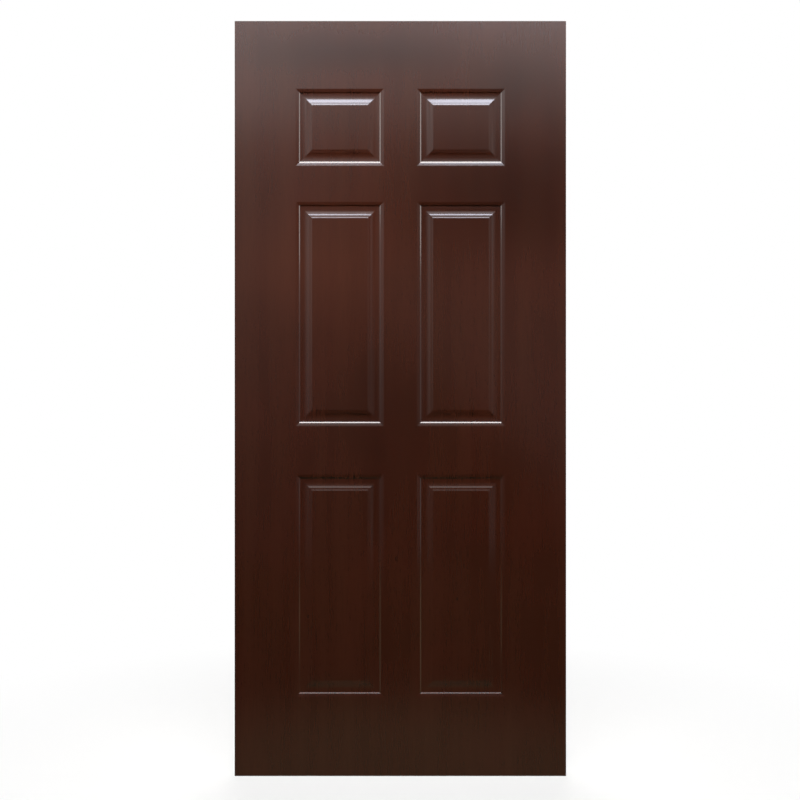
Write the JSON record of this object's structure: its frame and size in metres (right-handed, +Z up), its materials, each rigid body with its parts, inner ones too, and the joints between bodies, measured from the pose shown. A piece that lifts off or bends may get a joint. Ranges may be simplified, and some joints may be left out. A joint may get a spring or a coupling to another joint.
{
  "type": "six-panel interior door leaf",
  "caption": "Flat moulded door leaf with raised panels in two columns, dark wood-grain skins over a softwood frame and paper honeycomb core; hangs from either long edge to close a doorway.",
  "frame": {"origin": "middle of the leaf's bottom edge, at half its thickness", "axes": "+Z up along the height, +X across the width to the right as seen from the front, +Y through the thickness away from the front face"},
  "size_m": [0.9, 0.04, 2.05],
  "materials": {
    "skin": "satin decor-paper face with a dark mahogany grain, on pressed fibreboard",
    "frame_wood": "planed bare pine",
    "core_paper": "plain brown paper",
    "staple_wire": "galvanised wire",
    "edge_band": "satin, to match the skins"
  },
  "bodies": {
    "root": {"front_skin": "skin", "back_skin": "skin", "left_stile": "frame_wood", "right_stile": "frame_wood", "top_rail": "frame_wood", "bottom_rail": "frame_wood", "left_lock_block": "frame_wood", "right_lock_block": "frame_wood", "honeycomb_core": "core_paper", "corner_staples": "staple_wire", "left_edge_band": "edge_band", "right_edge_band": "edge_band"}
  },
  "joints": []
}
